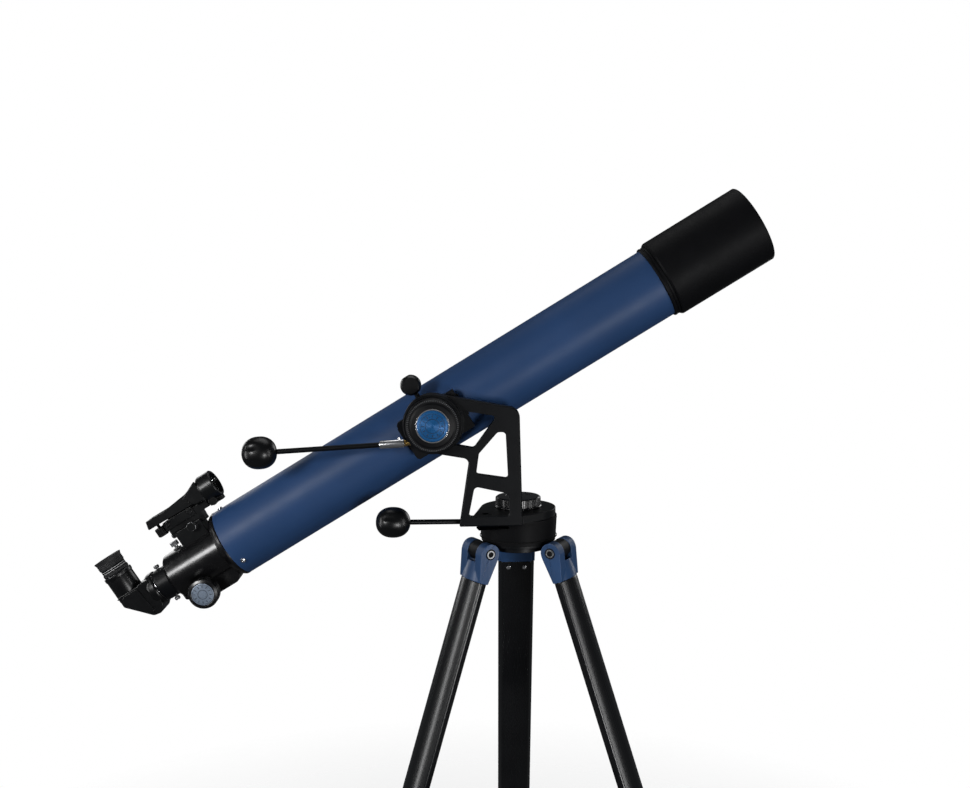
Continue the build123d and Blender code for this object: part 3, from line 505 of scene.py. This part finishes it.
def altitude_control_details():
    """Brass worm and journal, plated clamping sleeve with its screw, and the black control shaft."""
    line = ALTITUDE_WORM @ turn("Y", 90)
    worm = [(0, -12), (3, -12), (3, -9), (4.4, -9)]
    for index in range(-2, 3):
        middle = 3.0 * index
        worm += [(4.4, middle - 0.9), (3.2, middle - 0.9), (3.2, middle + 0.9), (4.4, middle + 0.9)]
    worm += [(4.4, 9), (3, 9), (3, 33.4), (3.9, 33.6), (3.9, 36.4), (3, 36.7), (3, 49.9), (0, 49.9)]
    worm_piece = piece("altitude_worm", lathe(worm, 48), line, "altitude_control", "brass")
    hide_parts("altitude_worm_shaft")
    sleeve = lathe([(3.25, 36.8), (4.9, 36.8), (5.2, 37.2), (5.2, 65.6), (4.8, 66.8), (3.25, 66.8)], 64, loop=True)
    piece("altitude_sleeve", sleeve, line, "altitude_control", "chrome")
    screw = lathe([(0, 4.9), (1.9, 4.9), (1.9, 7.6), (1.5, 8.1), (0, 8.1)], 24)
    slot_screw = ALTITUDE_WORM @ shift(42.5, 0, 0)
    piece("altitude_sleeve_screw", screw, slot_screw, "altitude_control", "chrome", 0.15)
    shaft = lathe([(0, 50.1), (3.2, 50.1), (3.2, 192.4), (0, 192.4)], 48)
    piece("altitude_control_shaft", shaft, line, "altitude_control", "satin_black")


def grip(radius, length):
    """Egg-shaped grip along local Z with six shallow thumb hollows around its outer half."""
    rings, count = 36, 72
    points = []
    for level in range(rings + 1):
        t = 0.5 - 0.5 * cos(pi * (0.06 + 0.90 * level / rings))
        swell = (1 - abs(2 * t - 1) ** 2.25) ** (1 / 2.25)
        hollow = 0.085 * exp(-((t - 0.66) / 0.17) ** 2)
        for k in range(count):
            angle = 2 * pi * k / count
            reach = radius * (swell - hollow * max(cos(6 * angle), 0))
            points.append((reach * cos(angle), reach * sin(angle), length * t))
    faces = [(row * count + k, row * count + (k + 1) % count, (row + 1) * count + (k + 1) % count,
              (row + 1) * count + k) for row in range(rings) for k in range(count)]
    ends = [tuple(range(count))[::-1], tuple(range(rings * count, (rings + 1) * count))]
    return points, faces + ends


def control_grips():
    for name, line, start, radius in (("altitude", ALTITUDE_WORM, 192.5, 20.2), ("azimuth", AZIMUTH_WORM, 147.5, 19.0)):
        place = line @ shift(start, 0, 0) @ turn("Y", 90)
        made = piece(f"{name}_grip", grip(radius, 42.5), place, f"{name}_control", "gloss_black")
        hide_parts(f"{name}_control_knob")


def azimuth_details():
    drum_rings = joined(ring(49.2, 50.12, 1.4, 2.2, 0.1), ring(49.2, 50.12, 25.2, 25.7, 0.1))
    piece("drum_rings", drum_rings, DECK, "turntable", "flat_black")
    core = lathe([(0, 39.4), (30.2, 39.4), (30.4, 41.0), (29.4, 42.0), (28.8, 51.6), (27.4, 53.0), (16.8, 53.3),
                  (16.2, 52.7), (0, 52.8)], 96)
    knob = piece("azimuth_knob_core", core, DECK, "azimuth_tension", "plastic_black")
    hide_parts("azimuth_tension_knob")
    ribs = knurl(76, 29.1, 0.55, 42.2, 51.9, 27.0, taper=0.5)
    piece("azimuth_knob_ribs", ribs, DECK, "azimuth_tension", "gloss_black")


# ---- focuser, eyepiece and finder ----
def focuser_details():
    pinion = TUBE @ shift(-476, 0, -32)
    for side, name in ((90, "focus_dial_left"), (-90, "focus_dial_right")):
        outward = pinion @ turn("X", side)
        disc = lathe([(0, 49.05), (14.0, 49.05), (14.0, 49.45), (13.5, 49.7), (0, 49.8)], 72)
        piece(name, disc, outward, "focus_pinion", "grey_dial")
        marks = joined(bars(12, 8.8, 11.6, 0.9, 49.6, 50.0), ring(5.6, 6.2, 49.6, 50.0, 0.05),
                       ring(12.4, 12.8, 49.5, 49.95, 0.05))
        piece(name + "_marks", marks, outward, "focus_pinion", "grey_mark")
    screws = TUBE @ shift(-524, 0, 0)
    heads = joined(knurl(12, 3.35, 0.35, 23.0, 26.0, 3.0), moved(knurl(12, 3.35, 0.35, 23.0, 26.0, 3.0),
                                                                turn("X", 180)))
    piece("thumbscrew_knurls", heads, screws, "focuser_draw", "chrome")


def diagonal_details():
    """Diagonal housing: body, a raised triangular cover on each side, collar and riser."""
    body = upright(((-583, 17, 0), (-583, 2.5, 3), (-556, -26.5, 8), (-545, -28.4, 6), (-537, -20, 6),
                    (-537, 18.5, 4), (-552, 18.5, 0), (-553.4, 17, 0)), -18.6, 18.6)
    collar = moved(lathe([(0, -532.4), (21, -532.4), (22.4, -534), (22.4, -541), (20, -545), (0, -545)], 96),
                   turn("Y", 90))
    riser = lathe([(15.9, 7), (17, 7), (18, 9), (18, 39), (18.4, 39.6), (18.9, 40.4), (18.9, 44.2), (18.3, 45),
                   (15.9, 45)], 96, loop=True)
    made = piece("diagonal_housing", joined(body, collar), TUBE, "diagonal", "gloss_black", 1.6)
    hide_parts("diagonal_body")
    piece("diagonal_riser", riser, TUBE @ shift(MIRROR_S, 0, 0), "diagonal", "gloss_black")
    corners = ((-581, 3.5, 3), (-556, -22.5, 4), (-550.5, -22.5, 3), (-554.5, 15, 3), (-577, 15, 5))
    covers = joined(upright(corners, -20.1, -18), upright(corners, 18, 20.1))
    piece("diagonal_covers", covers, TUBE, "diagonal", "gloss_black", 0.6)


def eyepiece_details():
    post = TUBE @ shift(MIRROR_S, 0, 0)
    cup = [(15.7, 56.2), (17.0, 56.2)]
    for index in range(3):
        low = 57.2 + 2.2 * index
        cup += [(17.0, low), (17.5, low + 0.4), (17.5, low + 1.0), (17.0, low + 1.4)]
    cup += [(17.2, 64.0), (18.1, 66.6), (18.8, 68.0), (18.3, 68.2), (16.4, 64.2), (14.5, 61.9), (15.7, 60.6)]
    cup_piece = piece("rubber_eyecup", lathe(cup, 96, loop=True), post, "eyepiece", "rubber")
    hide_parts("eyecup")
    bands = joined(ring(16.3, 16.58, 51.0, 51.45, 0.05), ring(16.3, 16.58, 53.6, 54.05, 0.05))
    piece("eyepiece_bands", bands, post, "eyepiece", "print_white")
    piece("eyepiece_grip", knurl(60, 17.12, 0.3, 46.3, 49.2, 16.9), post, "eyepiece", "rubber")
    lens = lathe([(0, 59.7), (6.8, 58.9), (6.8, 56.5), (0, 56.0)], 48)
    piece("eye_lens", lens, post, "eyepiece", "coated_glass")


def finder_details():
    clamp = TUBE @ shift(-449, 0, 46.4) @ turn("X", 90)
    piece("finder_clamp_knurl", knurl(20, 5.35, 0.45, 14.2, 21.2, 5.1), clamp, "optical_tube", "chrome")
    rear = TUBE @ shift(-475, 0, 47) @ turn("Y", -90)
    stud = joined(lathe([(0, 0), (1.4, 0), (1.4, 4), (0, 4)], 24), knurl(10, 2.7, 0.35, 4.0, 8.6, 1.0),
                  lathe([(0, 4.1), (1.2, 4.1), (1.2, 8.5), (0, 8.5)], 24))
    piece("finder_rear_screw", stud, rear, "optical_tube", "gunmetal")
    for side, name in ((90, "near"), (-90, "far")):
        for spot, s, h in (("rear", -477, 64.6), ("front", -443.6, 63.8)):
            place = TUBE @ shift(s, 0, h) @ turn("X", side)
            piece(f"finder_bolt_{spot}_{name}", lathe([(2.7, 10.5), (3.6, 10.5), (3.6, 11.4), (3.1, 11.9), (2.7, 11.9)],
                                                      32, loop=True), place, "optical_tube", "gloss_black")
        pivot = TUBE @ shift(-435.8, 0, 79) @ turn("X", side)
        piece(f"finder_pivot_{name}", joined(ring(4.3, 5.4, 12.9, 14.2), lathe([(0, 14.62), (2.4, 14.62), (2.4, 14.9),
              (0, 14.9)], 24)), pivot, "sight", "gloss_black")
        adjust = TUBE @ shift(-409.5, 0, 59.6) @ turn("X", side)
        piece(f"finder_adjuster_{name}", knurl(16, 5.65, 0.35, 8.0, 12.4, 5.2), adjust, "sight", "gloss_black")
    corners = ((-434, 71, 1), (-437, 83.5, 1), (-415.5, 93.6, 1), (-415.5, 62, 1), (-418.6, 66.6, 0), (-430, 67.2, 1))
    cheeks = joined(upright(corners, -15.8, -12.7), upright(corners, 12.7, 15.8))
    piece("finder_cheeks", cheeks, TUBE, "sight", "finder_grey", 0.8)
    lens_ring = TUBE @ shift(-403, 0, 77) @ turn("Y", 82)
    piece("finder_lens_ring", ring(13.2, 14.45, 1.2, 2.2), lens_ring, "sight", "flat_black")


# ---- legs ----
def leg_outline(grow):
    """Leg section: flat inside, bowed outside."""
    half, back = 24.6 + grow, -9.6 - grow
    bow_radius = 43.6 + grow
    bow = [(bow_radius * cos(radians(angle)) - 34.0, bow_radius * sin(radians(angle))) for angle in range(-32, 33, 4)]
    return [(-1, -half)] + bow + [(-1, half), (back, half - 5), (back, 5 - half)]


def forks():
    """Moulded fork: a sleeve round the leg's top and two rounded prongs."""
    prong = ((-13, 13, 13), (13, 13, 13), (13, -4, 5), (4.5, -38.2, 1.5), (-8.0, -38.2, 1.5), (-12.6, -4, 5))
    for index, leg_frame in LEGS.items():
        sleeve = extruded(leg_outline(0.1), -38.0, -14.6)
        shape = joined(upright(prong, -25.0, -10.5), upright(prong, 10.5, 25.0), sleeve)
        made = piece(f"fork_{index}", shape, leg_frame, f"leg_{index}", "fork_blue", 1.8)
        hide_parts(f"leg_fork_{index}")


def leg_details():
    """Plated heads on the fork screws, and a flat black disc at each end of a hinge bolt as painted shade in its
    socket.
    """
    half = 49.2 / 2
    for index, leg_frame in LEGS.items():
        screws = []
        for side in (-11, 11):
            place = shift(-9.6, side, -47) @ turn("Y", -90)
            screws.append(moved(lathe([(0, 0.9), (2.9, 0.9), (2.9, 1.2), (2.2, 1.7), (0, 1.75)], 32), place))
        piece(f"fork_screws_{index}", joined(*screws), leg_frame, f"leg_{index}", "chrome")
        hinge = leg_frame @ turn("Y", LEG_LEAN)
        rims = [moved(ring(3.6, 5.4, half + 0.4, half + 1.1), turn("X", side)) for side in (90, -90)]
        piece(f"bolt_rims_{index}", joined(*rims), hinge, "tripod_top", "gunmetal")
        # Painted shade: a flat black disc that shows as the dark socket inside each bolt rim.
        socket_shades = [moved(lathe([(0, half + 0.3), (6.9, half + 0.3), (6.9, half + 0.7), (0, half + 0.7)], 48), turn("X", side))
                 for side in (90, -90)]
        piece(f"bolt_socket_shade_{index}", joined(*socket_shades), hinge, "tripod_top", "flat_black")


altitude_knob_details()
altitude_control_details()
control_grips()
azimuth_details()
focuser_details()
diagonal_details()
eyepiece_details()
finder_details()
forks()
leg_details()


# ---- camera, floor and light ----
def camera():
    data = bpy.data.cameras.new("photo_camera")
    data.sensor_width = 36.0
    data.lens = 40.906
    data.shift_y = 0.065
    data.clip_end = 50.0
    view = bpy.data.objects.new("photo_camera", data)
    view.matrix_world = (shift(50.3, -1476.8, 1170.9) @ turn("Z", -0.92) @ turn("X", 90 - 9.52)
                         @ turn("Z", -0.68))
    bpy.context.collection.objects.link(view)
    bpy.context.scene.camera = view


def floor():
    """Pale floor that fades into the background."""
    mesh = bpy.data.meshes.new("floor")
    reach = 7.0
    corners = [(-reach, -reach, 0), (reach, -reach, 0), (reach, reach, 0), (-reach, reach, 0)]
    mesh.from_pydata(corners, [], [(0, 1, 2, 3)])
    paint = Paint("floor_paper")
    distance = paint.add("ShaderNodeVectorMath", operation="LENGTH")
    paint.link(paint.place, distance.inputs[0])
    tone = paint.mixed(paint.noise(3, 3), (0.60, 0.60, 0.60), (0.64, 0.64, 0.64))
    seen = paint.add("ShaderNodeLightPath").outputs["Is Camera Ray"]
    paint.set(colour=paint.mixed(seen, (0.10, 0.10, 0.10), tone), rough=0.9, specular=0.1,
              glow=(1.0, 1.0, 1.0), glow_strength=paint.math("MULTIPLY", seen, 0.42))
    clear = paint.add("ShaderNodeBsdfTransparent")
    blend = paint.add("ShaderNodeMixShader")
    paint.link(paint.scaled(distance.outputs["Value"], 0, 1, 0.55, 1.3), blend.inputs[0])
    paint.link(paint.shader.outputs[0], blend.inputs[1])
    paint.link(clear.outputs[0], blend.inputs[2])
    output = next(node for node in paint.nodes if node.type == "OUTPUT_MATERIAL")
    paint.link(blend.outputs[0], output.inputs[0])
    mesh.materials.append(paint.material)
    ground = bpy.data.objects.new("floor", mesh)
    bpy.context.collection.objects.link(ground)


def light(name, place, aim, size, power):
    data = bpy.data.lights.new(name, "AREA")
    data.shape = "RECTANGLE"
    data.size, data.size_y = size
    data.energy = power
    lamp = bpy.data.objects.new(name, data)
    lamp.location = place
    lamp.rotation_euler = (Vector(aim) - Vector(place)).to_track_quat("-Z", "Y").to_euler()
    bpy.context.collection.objects.link(lamp)


def world():
    """White background that lights the object only dimly."""
    sky = bpy.data.worlds.new("studio")
    bpy.context.scene.world = sky
    sky.use_nodes = True
    nodes = sky.node_tree.nodes
    links = sky.node_tree.links
    nodes.clear()
    output = nodes.new("ShaderNodeOutputWorld")
    seen = nodes.new("ShaderNodeBackground")
    seen.inputs["Color"].default_value = (1, 1, 1, 1)
    dim = nodes.new("ShaderNodeBackground")
    dim.inputs["Color"].default_value = (0.9, 0.95, 1, 1)
    dim.inputs["Strength"].default_value = 0.06
    blend = nodes.new("ShaderNodeMixShader")
    links.new(nodes.new("ShaderNodeLightPath").outputs["Is Camera Ray"], blend.inputs[0])
    links.new(dim.outputs[0], blend.inputs[1])
    links.new(seen.outputs[0], blend.inputs[2])
    links.new(blend.outputs[0], output.inputs[0])


camera()
floor()
world()
light("front_left", (-1.28, -1.72, 1.45), (-0.1, 0, 0.95), (0.5, 0.55), 30)
light("front_right", (0.95, -1.85, 0.55), (0.1, 0, 1.0), (0.5, 0.5), 20)
light("left_strip", (-1.93, -0.50, 0.95), (0, 0, 0.7), (0.28, 1.5), 14)
light("right_strip", (1.99, -1.03, 0.92), (0.1, 0, 0.7), (0.22, 1.5), 12)
light("top", (0.2, 0.5, 2.9), (0, 0, 0.6), (1.8, 1.2), 12)
light("back_left", (-1.5, 1.75, 1.2), (0, 0, 0.8), (0.9, 1.1), 9)
light("back_right", (1.5, 1.75, 1.2), (0, 0, 0.8), (0.9, 1.1), 9)
bpy.context.scene.view_settings.view_transform = "Standard"
